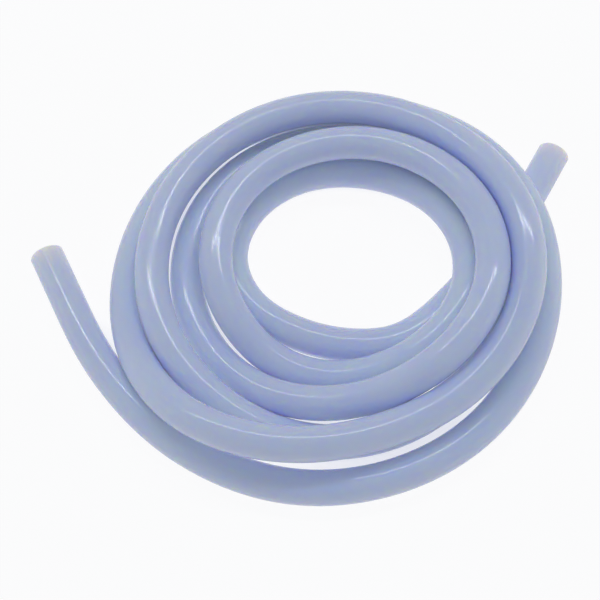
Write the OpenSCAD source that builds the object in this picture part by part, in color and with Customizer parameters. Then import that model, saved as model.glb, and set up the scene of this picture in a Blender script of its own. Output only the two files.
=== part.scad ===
// Length of soft silicone tubing, wound into a loose flat coil and lying at rest.
// One extruded length, open at both cut ends, with a round bore right through it.
// Millimetres. Z is up, the coil rests on the plane z = 0.
// The origin is on that plane, under the middle of the coil's outline.

/* [Tube] */
// Outside diameter of the tube
outside_d = 12; // [11:0.1:12]
// Diameter of the bore
bore_d = 8; // [5:0.5:9]
// Straight length at each cut end
end_l = 20; // [10:1:22]

/* [Fineness] */
// Sides of the bent tube's section
sides = 12; // [8:2:12]
// Rings along the bent tube for each 30 degrees of winding
rings = 3; // [2:1:3]

/* [Appearance] */
// Colour of the milky silicone
silicone_colour = "LightSteelBlue"; // [LightSteelBlue, Lavender, GhostWhite]

/* [Hidden] */
$fn = 96;

// Heights of the tube's axis: on the floor, on one turn, and the tops of the
// long low humps over one and over two, which the spline rounds off a little
floor_z = outside_d / 2;
on_one = outside_d * 3 / 2;
over_one = outside_d * 7 / 4;
over_two = outside_d * 8 / 3;

// The winding starts at this bearing and runs counter-clockwise seen from above
first_bearing = 225;

// Distance of the tube's axis from the coil's centre at every 60 degrees of
// winding, one row for each lap, from the outside in
lap_radii = [
    [79.5, 71.5, 72, 73, 75, 75],
    [75, 58.5, 64, 65, 68.5, 67],
    [62, 57, 57, 61, 62, 56],
    [49.5, 46.5, 51.5, 52.5, 51, 45],
    [37, 35.5, 44.5, 48, 48, 41],
    [23.5, 23, 37]
];

// Where the tube rises and settles: pairs of winding bearing and axis height
layers = [
    [225, floor_z], [315, floor_z],
    [385, over_one],                    // first lap crosses the inner end
    [460, floor_z], [545, floor_z],
    [600, 25], [655, on_one],           // second lap lies along the third
    [735, over_two],                    // and crosses the inner end above it
    [790, 22], [850, 17], [930, 16],    // then settles between two turns
    [985, floor_z], [1040, floor_z],
    [1095, over_one],                   // third lap crosses the inner end
    [1150, floor_z], [1310, floor_z],
    [1355, 16], [1405, 29],
    [1440, over_two],                   // fourth lap crosses it above the fifth
    [1480, 26], [1545, 19],
    [1610, on_one], [1640, 16],         // and lies along the top of the fifth
    [1675, floor_z], [1700, floor_z],
    [1785, over_one],                   // fifth lap crosses the inner end
    [1820, 18], [1875, floor_z],
    [2145, floor_z]
];

// Outer cut end: where the tube starts, and the heading of its straight run
tip_a = [-106, 13];
heading_a = -63;
// Inner cut end, which runs out under the turns on the far side
tip_b = [83, 56.5];
heading_b = -120;
// Spacing of the three points that hold each cut end straight
tail_step = 24;

// Straight lines from corner to corner, eased at both ends of each
function ease(u) = u * u * (3 - 2 * u);
function height(a, i = 0) = i >= len(layers) - 2 || a <= layers[i + 1][0]
    ? layers[i][1] + (layers[i + 1][1] - layers[i][1])
        * ease(min(1, max(0, (a - layers[i][0]) / (layers[i + 1][0] - layers[i][0]))))
    : height(a, i + 1);

// Smooth curve through the lap radii
radii = [for (l = lap_radii) each l];
function radius_at(i) = radii[min(len(radii) - 1, max(0, i))];
function radius(a) = let (
        s = (a - first_bearing) / 60,
        i = min(len(radii) - 2, floor(s)),
        u = s - i,
        p = radius_at(i - 1), q = radius_at(i), r = radius_at(i + 1), t = radius_at(i + 2)
    )
    q + u * ((r - p) + u * ((2 * p - 5 * q + 4 * r - t) + u * (3 * (q - r) + t - p))) / 2;

function on_heading(a) = [cos(a), sin(a), 0];
function lift(p) = [p[0], p[1], floor_z];

// A spline cuts the corners of the points that steer it, so they stand out a little
bearing_step = 30;
stand_out = 3 / (2 + cos(bearing_step));
last_bearing = first_bearing + 60 * (len(radii) - 1);
function turn_point(a) = radius(a) * stand_out * on_heading(a) + [0, 0, height(a)];

// All the points that steer the tube's axis, from one cut end to the other
steer = [
    for (k = [0:2]) lift(tip_a) + k * tail_step * on_heading(heading_a),
    for (a = [first_bearing:bearing_step:last_bearing]) turn_point(a),
    for (k = [2:-1:0]) lift(tip_b) + k * tail_step * on_heading(heading_b)
];
last = len(steer) - 1;

// Uniform cubic B-spline through the steering points: smooth in slope and in bend
function at(i) = i < 0 ? 2 * steer[0] - steer[1]
    : i > last ? 2 * steer[last] - steer[last - 1]
    : steer[i];
function axis_point(i, u) =
    (pow(1 - u, 3) * at(i - 1)
     + (3 * pow(u, 3) - 6 * pow(u, 2) + 4) * at(i)
     + (-3 * pow(u, 3) + 3 * pow(u, 2) + 3 * u + 1) * at(i + 1)
     + pow(u, 3) * at(i + 2)) / 6;
function axis_slope(i, u) =
    (-3 * pow(1 - u, 2) * at(i - 1)
     + (9 * pow(u, 2) - 12 * u) * at(i)
     + (-9 * pow(u, 2) + 6 * u + 3) * at(i + 1)
     + 3 * pow(u, 2) * at(i + 2)) / 6;
function unit(v) = v / norm(v);

// The bent run starts and stops a millimetre inside the straight cut ends
lap_over = 1;
stations = [
    [steer[0] + (end_l - lap_over) * on_heading(heading_a), on_heading(heading_a)],
    for (i = [1:last - 2]) for (k = [0:rings - 1])
        [axis_point(i, k / rings), unit(axis_slope(i, k / rings))],
    [axis_point(last - 1, 0), unit(axis_slope(last - 1, 0))],
    [steer[last] + (end_l - lap_over) * on_heading(heading_b), -on_heading(heading_b)]
];
count = len(stations);

// One ring of the section, square to the tube's axis, with a corner facing down
function ring(s, r) = let (
        t = s[1],
        across = unit(cross([0, 0, 1], t)),
        over = cross(t, across)
    )
    [for (k = [0:sides - 1]) let (a = k * 360 / sides)
        s[0] + r * (cos(a) * across + sin(a) * over)];

// The bent run's corners lie on the round skin, and its bore has the round bore's area.
// Its end rings stand clear inside the wall of the round cut ends.
skin_r = outside_d / 2;
bore_r = bore_d / 2 * sqrt(2 * PI / (sides * sin(360 / sides)));
clear = 0.1;
function at_end(j) = j == 0 || j == count - 1;
function skin_at(j) = at_end(j) ? skin_r - clear : skin_r;
function bore_at(j) = at_end(j) ? (bore_d / 2 + clear) / cos(180 / sides) : bore_r;

// Where the coil's outline starts and stops, so that its middle is the origin
xs = [for (s = stations) for (p = ring(s, skin_r)) p[0],
      for (h = [[tip_a, heading_a], [tip_b, heading_b]])
          for (s = [-1, 1]) h[0][0] + s * outside_d / 2 * sin(h[1])];
ys = [for (s = stations) for (p = ring(s, skin_r)) p[1],
      for (h = [[tip_a, heading_a], [tip_b, heading_b]])
          for (s = [-1, 1]) h[0][1] + s * outside_d / 2 * cos(h[1])];
middle = [(min(xs) + max(xs)) / 2, (min(ys) + max(ys)) / 2, 0];

// The bent run: outer skin, bore skin and the two ring faces, as one closed shell
module bent_run() {
    pts = [for (j = [0:count - 1]) each ring(stations[j], skin_at(j)),
           for (j = [0:count - 1]) each ring(stations[j], bore_at(j))];
    inner = count * sides;
    end = count - 1;
    function o(j, k) = j * sides + k % sides;
    function b(j, k) = inner + j * sides + k % sides;
    polyhedron(points = pts, faces = [
        for (j = [0:end - 1]) for (k = [0:sides - 1]) each [
            [o(j, k), o(j + 1, k), o(j, k + 1)],
            [o(j, k + 1), o(j + 1, k), o(j + 1, k + 1)],
            [b(j, k), b(j, k + 1), b(j + 1, k)],
            [b(j, k + 1), b(j + 1, k + 1), b(j + 1, k)]
        ],
        for (k = [0:sides - 1]) each [
            [o(0, k), o(0, k + 1), b(0, k)],
            [o(0, k + 1), b(0, k + 1), b(0, k)],
            [o(end, k), b(end, k), o(end, k + 1)],
            [o(end, k + 1), b(end, k), b(end, k + 1)]
        ]
    ], convexity = 12);
}

// A straight cut end: a square cut, a true round wall and a true round bore
module cut_end(tip, heading) {
    translate(lift(tip)) rotate([0, 0, heading]) rotate([0, 90, 0])
        difference() {
            cylinder(d = outside_d, h = end_l);
            translate([0, 0, -1]) cylinder(d = bore_d, h = end_l + 2);
        }
}

// The whole length of tubing, from the outer cut end to the inner one
module silicone_tube() {
    color(silicone_colour) translate(-middle) union() {
        bent_run();
        cut_end(tip_a, heading_a);
        cut_end(tip_b, heading_b);
    }
}

silicone_tube();
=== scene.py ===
import bpy, bmesh, math
import numpy as np
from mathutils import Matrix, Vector


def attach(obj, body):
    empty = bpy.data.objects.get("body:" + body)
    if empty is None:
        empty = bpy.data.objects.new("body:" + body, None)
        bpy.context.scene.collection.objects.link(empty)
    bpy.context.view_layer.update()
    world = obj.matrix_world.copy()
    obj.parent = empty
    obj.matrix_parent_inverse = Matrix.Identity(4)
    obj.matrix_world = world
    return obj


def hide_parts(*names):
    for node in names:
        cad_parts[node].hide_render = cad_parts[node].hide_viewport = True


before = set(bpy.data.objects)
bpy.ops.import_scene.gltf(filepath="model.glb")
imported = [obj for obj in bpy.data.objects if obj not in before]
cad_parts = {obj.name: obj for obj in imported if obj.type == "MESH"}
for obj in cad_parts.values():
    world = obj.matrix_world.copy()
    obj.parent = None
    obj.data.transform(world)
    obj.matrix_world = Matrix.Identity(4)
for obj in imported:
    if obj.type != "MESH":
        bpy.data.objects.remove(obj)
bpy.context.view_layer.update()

# ------------------------------------------------------------------ the route
# The same route as part.scad, in millimetres: radius every 60 degrees of
# winding, and pairs of winding bearing and axis height.
OUTSIDE_D, BORE_D = 12.0, 8.0
FIRST, STEP = 225, 30
LAP_RADII = [
    [79.5, 71.5, 72, 73, 75, 75],
    [75, 58.5, 64, 65, 68.5, 67],
    [62, 57, 57, 61, 62, 56],
    [49.5, 46.5, 51.5, 52.5, 51, 45],
    [37, 35.5, 44.5, 48, 48, 41],
    [23.5, 23, 37],
]
FLOOR, ON_ONE, OVER_ONE, OVER_TWO = 6, 18, 21, 32
LAYERS = [
    (225, FLOOR), (315, FLOOR), (385, OVER_ONE), (460, FLOOR), (545, FLOOR), (600, 25),
    (655, ON_ONE), (735, OVER_TWO), (790, 22), (850, 17), (930, 16), (985, FLOOR),
    (1040, FLOOR), (1095, OVER_ONE), (1150, FLOOR), (1310, FLOOR), (1355, 16), (1405, 29),
    (1440, OVER_TWO), (1480, 26), (1545, 19), (1610, ON_ONE), (1640, 16), (1675, FLOOR),
    (1700, FLOOR), (1785, OVER_ONE), (1820, 18), (1875, FLOOR), (2145, FLOOR),
]
TIP_A, HEADING_A = (-106, 13), -63
TIP_B, HEADING_B = (83, 56.5), -120
TAIL_STEP = 24
# The coil's own centre, seen from the row's origin
CENTRE = np.array([11.5749, -0.261003, 0.0])


def on_heading(a):
    return np.array([math.cos(math.radians(a)), math.sin(math.radians(a)), 0.0])


def height(a):
    i = 0
    while i < len(LAYERS) - 2 and a > LAYERS[i + 1][0]:
        i += 1
    (a0, z0), (a1, z1) = LAYERS[i], LAYERS[i + 1]
    u = min(1.0, max(0.0, (a - a0) / (a1 - a0)))
    return z0 + (z1 - z0) * u * u * (3 - 2 * u)


RADII = [r for lap in LAP_RADII for r in lap]


def radius(a):
    def at(i):
        return RADII[min(len(RADII) - 1, max(0, i))]
    s = (a - FIRST) / 60
    i = min(len(RADII) - 2, math.floor(s))
    u = s - i
    p, q, r, t = at(i - 1), at(i), at(i + 1), at(i + 2)
    return q + u * ((r - p) + u * ((2 * p - 5 * q + 4 * r - t) + u * (3 * (q - r) + t - p))) / 2


def steer_points():
    z = np.array([0.0, 0.0, OUTSIDE_D / 2])
    stand_out = 3 / (2 + math.cos(math.radians(STEP)))
    pts = [np.array([*TIP_A, 0.0]) + z + k * TAIL_STEP * on_heading(HEADING_A) for k in range(3)]
    last = FIRST + 60 * (len(RADII) - 1)
    pts += [radius(a) * stand_out * on_heading(a) + np.array([0, 0, height(a)])
            for a in range(FIRST, last + 1, STEP)]
    pts += [np.array([*TIP_B, 0.0]) + z + k * TAIL_STEP * on_heading(HEADING_B) for k in (2, 1, 0)]
    return np.array(pts)


def centreline(sub):
    """Points along the uniform cubic B-spline, and their unit slopes."""
    S = steer_points()
    S = np.vstack([2 * S[0] - S[1], S, 2 * S[-1] - S[-2]])
    pts, slopes = [], []
    n = len(S) - 3
    for i in range(n):
        for k in range(sub + (1 if i == n - 1 else 0)):
            u = k / sub
            b = np.array([(1 - u) ** 3, 3 * u**3 - 6 * u**2 + 4, -3 * u**3 + 3 * u**2 + 3 * u + 1, u**3]) / 6
            d = np.array([-3 * (1 - u) ** 2, 9 * u**2 - 12 * u, -9 * u**2 + 6 * u + 3, 3 * u**2]) / 6
            pts.append(b @ S[i:i + 4])
            slopes.append(d @ S[i:i + 4])
    pts, slopes = np.array(pts) + CENTRE, np.array(slopes)
    return pts, slopes / np.linalg.norm(slopes, axis=1)[:, None]


AXIS, SLOPE = centreline(12)

# ------------------------------------------------------------------ the camera
cam_data = bpy.data.cameras.new("camera")
cam = bpy.data.objects.new("camera", cam_data)
bpy.context.scene.collection.objects.link(cam)
bpy.context.scene.camera = cam
cam_data.sensor_width = 36.0
cam_data.lens = 66.0
cam_data.clip_start = 0.01
LOOK = np.array([-2.090, -2.621, 0.0]) / 1000
ELEVATION, DISTANCE = math.radians(65), 0.400
cam.location = LOOK + DISTANCE * np.array([0, -math.cos(ELEVATION), math.sin(ELEVATION)])
cam.rotation_euler = (math.pi / 2 - ELEVATION, 0, 0)

# ------------------------------------------------------------------ the tube
SIDES = 48


def frames(slope):
    across = np.cross(np.array([0, 0, 1.0]), slope)
    across /= np.linalg.norm(across, axis=1)[:, None]
    return across, np.cross(slope, across)


def tube_mesh():
    """One closed hollow skin: outside, a worn lip, the cut face, the bore and back."""
    r_out, r_in, lip = OUTSIDE_D / 2, BORE_D / 2, 0.22
    # along the outside from end to end, with the lips drawn in
    a, o = frames(SLOPE)

    def ring(p, i, r, n):
        k = np.arange(n) * 2 * math.pi / n
        return p + r * (np.cos(k)[:, None] * a[i] + np.sin(k)[:, None] * o[i])

    verts, rows, owner = [], [], []

    def add(p, i, r, n):
        start = sum(len(v) for v in verts)
        verts.append(ring(p, i, r, n))
        rows.append((start, n))
        owner.extend([i] * n)

    n = len(AXIS)
    # outside, lips at both ends
    for d, r in ((0.0, r_out - lip), (lip * 0.3, r_out - lip * 0.3), (lip, r_out)):
        add(AXIS[0] + SLOPE[0] * d, 0, r, SIDES)
    for i in range(1, n - 1):
        add(AXIS[i], i, r_out, SIDES)
    for d, r in ((lip, r_out), (lip * 0.3, r_out - lip * 0.3), (0.0, r_out - lip)):
        add(AXIS[-1] - SLOPE[-1] * d, n - 1, r, SIDES)
    # bore, from the far end back
    for d, r in ((0.0, r_in + lip * 0.6), (lip * 0.6, r_in)):
        add(AXIS[-1] - SLOPE[-1] * d, n - 1, r, SIDES)
    for i in range(n - 2, 0, -1):
        add(AXIS[i], i, r_in, SIDES)
    for d, r in ((lip * 0.6, r_in), (0.0, r_in + lip * 0.6)):
        add(AXIS[0] + SLOPE[0] * d, 0, r, SIDES)
    V = np.vstack(verts) / 1000
    F = []
    for j in range(len(rows)):
        (s0, m), (s1, _) = rows[j], rows[(j + 1) % len(rows)]
        for k in range(m):
            k2 = (k + 1) % m
            F.append((s0 + k, s0 + k2, s1 + k2, s1 + k))
    me = bpy.data.meshes.new("silicone_tubing")
    me.from_pydata(V.tolist(), [], F)
    me.update()
    bm = bmesh.new()
    bm.from_mesh(me)
    bmesh.ops.recalc_face_normals(bm, faces=bm.faces)
    bm.to_mesh(me)
    bm.free()
    me.polygons.foreach_set("use_smooth", [True] * len(me.polygons))
    me.update()
    return me, np.array(owner)


skin, OWNER = tube_mesh()
tube = bpy.data.objects.new("silicone_tubing", skin)
bpy.context.scene.collection.objects.link(tube)


def surroundings(me, owner, reach=22.0, close=12.0):
    """For each point of the skin: how much tubing lies round it, from 0 on a lone stretch to 1 in the thick of
    the coil; how much another lap shades it, from 0 in the open to 1 close under another lap; and 1 in the
    mouth of the bore."""
    p = np.empty(len(me.vertices) * 3)
    me.vertices.foreach_get("co", p)
    p = p.reshape(-1, 3) * 1000
    seg = np.linalg.norm(np.diff(AXIS, axis=0), axis=1)
    ds = np.append(seg, seg[-1])
    along = np.append(0, np.cumsum(seg))
    near, shade = np.zeros(len(p)), np.zeros(len(p))
    for k in range(0, len(p), 4000):
        d = np.linalg.norm(p[k:k + 4000, None] - AXIS[None], axis=2)
        near[k:k + 4000] = (np.clip(1 - (d / reach) ** 2, 0, 1) ** 2 * ds[None]).sum(1)
        own = np.abs(along[None] - along[owner[k:k + 4000], None]) < 30
        gap = np.clip(1 - (d - OUTSIDE_D / 2) / close, 0, 1)
        above = np.clip((AXIS[None, :, 2] - p[k:k + 4000, 2, None] + 2) / 8, 0, 1)
        shade[k:k + 4000] = np.where(own, 0, gap * above).max(1)
    lone = 2 * np.sum(np.clip(1 - (36 + np.arange(0.5, reach) ** 2) / reach ** 2, 0, 1) ** 2)
    # the mouth of the bore, where daylight reaches in at each cut end, and where the painted bore shade goes
    deep_in = np.linalg.norm(p - AXIS[owner], axis=1) < OUTSIDE_D / 2 - 1
    from_cut = np.minimum(along[owner], along[-1] - along[owner])
    mouth = deep_in * np.clip(1.5 - from_cut / 16, 0, 1)
    return np.clip((near / lone - 1) / 2.4, 0, 1), shade * shade * (3 - 2 * shade), mouth


CROWD, SHADE, MOUTH = surroundings(tube.data, OWNER)
for name, values in (("crowding", CROWD), ("overlain", SHADE), ("mouth", MOUTH)):
    tube.data.attributes.new(name, "FLOAT", "POINT").data.foreach_set("value", values)


# ------------------------------------------------------------------ silicone
# painted light on lone tubing, and painted shade where laps lie together
PAINTED_LIGHT_LONE = (0.80, 0.785, 0.945, 1)
PAINTED_SHADE_STACKED = (0.68, 0.72, 0.98, 1)
# painted light close under another lap
PAINTED_THROUGH_LIGHT = (0.95, 0.97, 0.84, 1)
# painted shade in the mouth of the bore
PAINTED_BORE_SHADE = (0.50, 0.60, 0.98, 1)


def silicone():
    mat = bpy.data.materials.new("milky_silicone")
    mat.use_nodes = True
    nt = mat.node_tree
    nt.nodes.clear()
    N = nt.nodes.new
    out = N("ShaderNodeOutputMaterial")
    b = N("ShaderNodeBsdfPrincipled")
    nt.links.new(b.outputs["BSDF"], out.inputs["Surface"])
    b.inputs["Subsurface Weight"].default_value = 1.0
    b.inputs["Subsurface Radius"].default_value = (1.0, 0.6, 0.1)
    b.inputs["Subsurface Scale"].default_value = 0.012
    b.inputs["IOR"].default_value = 1.41
    b.inputs["Specular IOR Level"].default_value = 0.5
    tc = N("ShaderNodeTexCoord")
    # milky rubber with painted light and shade: painted light makes it pale and greyer where one tube
    # lies alone, painted shade a deeper blue where laps lie on and beside each other; a faint cloudiness
    painted_shade_amount = N("ShaderNodeAttribute")
    painted_shade_amount.attribute_name = "crowding"
    cloud = N("ShaderNodeTexNoise")
    cloud.inputs["Scale"].default_value = 45.0
    cloud.inputs["Detail"].default_value = 2.0
    nt.links.new(tc.outputs["Object"], cloud.inputs["Vector"])
    drift = N("ShaderNodeMapRange")
    drift.inputs["From Min"].default_value = 0.3
    drift.inputs["From Max"].default_value = 0.7
    drift.inputs["To Min"].default_value = -0.12
    drift.inputs["To Max"].default_value = 0.12
    nt.links.new(cloud.outputs["Fac"], drift.inputs["Value"])
    deep = N("ShaderNodeMath")
    deep.operation = "ADD"
    deep.use_clamp = True
    nt.links.new(painted_shade_amount.outputs["Fac"], deep.inputs[0])
    nt.links.new(drift.outputs["Result"], deep.inputs[1])
    ramp = N("ShaderNodeValToRGB")
    ramp.color_ramp.elements[0].position = 0.0
    ramp.color_ramp.elements[0].color = PAINTED_LIGHT_LONE
    ramp.color_ramp.elements[1].position = 0.45
    ramp.color_ramp.elements[1].color = PAINTED_SHADE_STACKED
    nt.links.new(deep.outputs[0], ramp.inputs["Fac"])
    # painted light: close under another lap the colour is made paler, standing in for light that has come through its
    # milky wall
    over = N("ShaderNodeAttribute")
    over.attribute_name = "overlain"
    painted_light_under_lap = N("ShaderNodeMix")
    painted_light_under_lap.data_type = "RGBA"
    nt.links.new(over.outputs["Fac"], painted_light_under_lap.inputs[0])
    nt.links.new(ramp.outputs["Color"], painted_light_under_lap.inputs[6])
    painted_light_under_lap.inputs[7].default_value = PAINTED_THROUGH_LIGHT
    # painted shade: the light that gets through the wall into the bore is warm, so the bore's skin near each cut end
    # is painted a darker blue
    mouth = N("ShaderNodeAttribute")
    mouth.attribute_name = "mouth"
    painted_bore_shade_mix = N("ShaderNodeMix")
    painted_bore_shade_mix.data_type = "RGBA"
    nt.links.new(mouth.outputs["Fac"], painted_bore_shade_mix.inputs[0])
    nt.links.new(painted_light_under_lap.outputs[2], painted_bore_shade_mix.inputs[6])
    painted_bore_shade_mix.inputs[7].default_value = PAINTED_BORE_SHADE
    nt.links.new(painted_bore_shade_mix.outputs[2], b.inputs["Base Color"])
    # handling marks in the gloss
    mark = N("ShaderNodeTexNoise")
    mark.inputs["Scale"].default_value = 220.0
    mark.inputs["Detail"].default_value = 4.0
    nt.links.new(tc.outputs["Object"], mark.inputs["Vector"])
    rough = N("ShaderNodeMapRange")
    rough.inputs["To Min"].default_value = 0.11
    rough.inputs["To Max"].default_value = 0.17
    nt.links.new(mark.outputs["Fac"], rough.inputs["Value"])
    nt.links.new(rough.outputs["Result"], b.inputs["Roughness"])
    bump = N("ShaderNodeBump")
    bump.inputs["Strength"].default_value = 0.05
    bump.inputs["Distance"].default_value = 0.0002
    nt.links.new(mark.outputs["Fac"], bump.inputs["Height"])
    nt.links.new(bump.outputs["Normal"], b.inputs["Normal"])
    return mat


tube.data.materials.append(silicone())
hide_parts("silicone_tube")
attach(tube, "root")

# ------------------------------------------------------------------ floor and light
def camera_sees_white(nt, plain, out, white, share):
    """The stage alone: the camera sees it nearly white, and the light that reaches the object stays as it is."""
    path = nt.nodes.new("ShaderNodeLightPath")
    glow = nt.nodes.new("ShaderNodeEmission" if white else "ShaderNodeBackground")
    glow.inputs["Color"].default_value = (1, 1, 1, 1)
    glow.inputs["Strength"].default_value = 1.0
    part = nt.nodes.new("ShaderNodeMath")
    part.operation = "MULTIPLY"
    part.inputs[1].default_value = share
    nt.links.new(path.outputs["Is Camera Ray"], part.inputs[0])
    if white:
        # the floor keeps its own shade down in the narrow slits between laps
        open_sky = nt.nodes.new("ShaderNodeAmbientOcclusion")
        open_sky.inputs["Distance"].default_value = 0.016
        open_sky.samples = 16
        slit = nt.nodes.new("ShaderNodeMapRange")
        slit.inputs["From Min"].default_value = 0.1
        slit.inputs["From Max"].default_value = 0.32
        slit.inputs["To Max"].default_value = share
        nt.links.new(open_sky.outputs["AO"], slit.inputs["Value"])
        nt.links.new(slit.outputs["Result"], part.inputs[1])
    mix = nt.nodes.new("ShaderNodeMixShader")
    nt.links.new(part.outputs[0], mix.inputs["Fac"])
    nt.links.new(plain, mix.inputs[1])
    nt.links.new(glow.outputs[0], mix.inputs[2])
    nt.links.new(mix.outputs[0], out.inputs["Surface"])


floor_me = bpy.data.meshes.new("floor")
R = 3.0
floor_me.from_pydata([(-R, -R, 0), (R, -R, 0), (R, R, 0), (-R, R, 0)], [], [(0, 1, 2, 3)])
floor = bpy.data.objects.new("floor", floor_me)
bpy.context.scene.collection.objects.link(floor)
fm = bpy.data.materials.new("pale_floor")
fm.use_nodes = True
fn = fm.node_tree.nodes
fb = fn["Principled BSDF"]
fb.inputs["Base Color"].default_value = (0.5, 0.5, 0.5, 1)
fb.inputs["Emission Color"].default_value = (0.92, 0.94, 1, 1)
fb.inputs["Emission Strength"].default_value = 0.5
fb.inputs["Roughness"].default_value = 0.9
fb.inputs["Specular IOR Level"].default_value = 0.1
camera_sees_white(fm.node_tree, fb.outputs[0], fn["Material Output"], True, 0.85)
floor.data.materials.append(fm)

world = bpy.data.worlds.new("studio")
bpy.context.scene.world = world
world.use_nodes = True
wn = world.node_tree.nodes
wn["Background"].inputs["Color"].default_value = (0.92, 0.94, 1, 1)
wn["Background"].inputs["Strength"].default_value = 0.44
camera_sees_white(world.node_tree, wn["Background"].outputs[0], wn["World Output"], False, 1.0)


def area(name, towards_light, distance, size, size_y, glow):
    """A lamp in a direction from the object's middle, facing it, of a brightness where white paper lit evenly is 1."""
    d = bpy.data.lights.new(name, "AREA")
    d.shape = "RECTANGLE"
    d.size, d.size_y, d.energy = size, size_y, glow * math.pi * size * size_y
    o = bpy.data.objects.new(name, d)
    bpy.context.scene.collection.objects.link(o)
    at = Vector(towards_light).normalized() * distance
    o.location = at
    o.rotation_euler = (-at).to_track_quat("-Z", "Y").to_euler()
    o.visible_camera = False
    return o


area("back_softbox", (0.0, 0.375, 0.927), 1.2, 1.2, 0.02, 45)
area("left_softbox", (-0.97, 0.0, 0.22), 1.1, 0.9, 0.5, 0.5)
area("right_softbox", (0.97, 0.0, 0.22), 1.1, 0.9, 0.5, 0.5)
bpy.context.scene.view_settings.view_transform = "Standard"
# light passes through many thin milky walls
bpy.context.scene.cycles.max_bounces = 32
bpy.context.scene.cycles.diffuse_bounces = 12
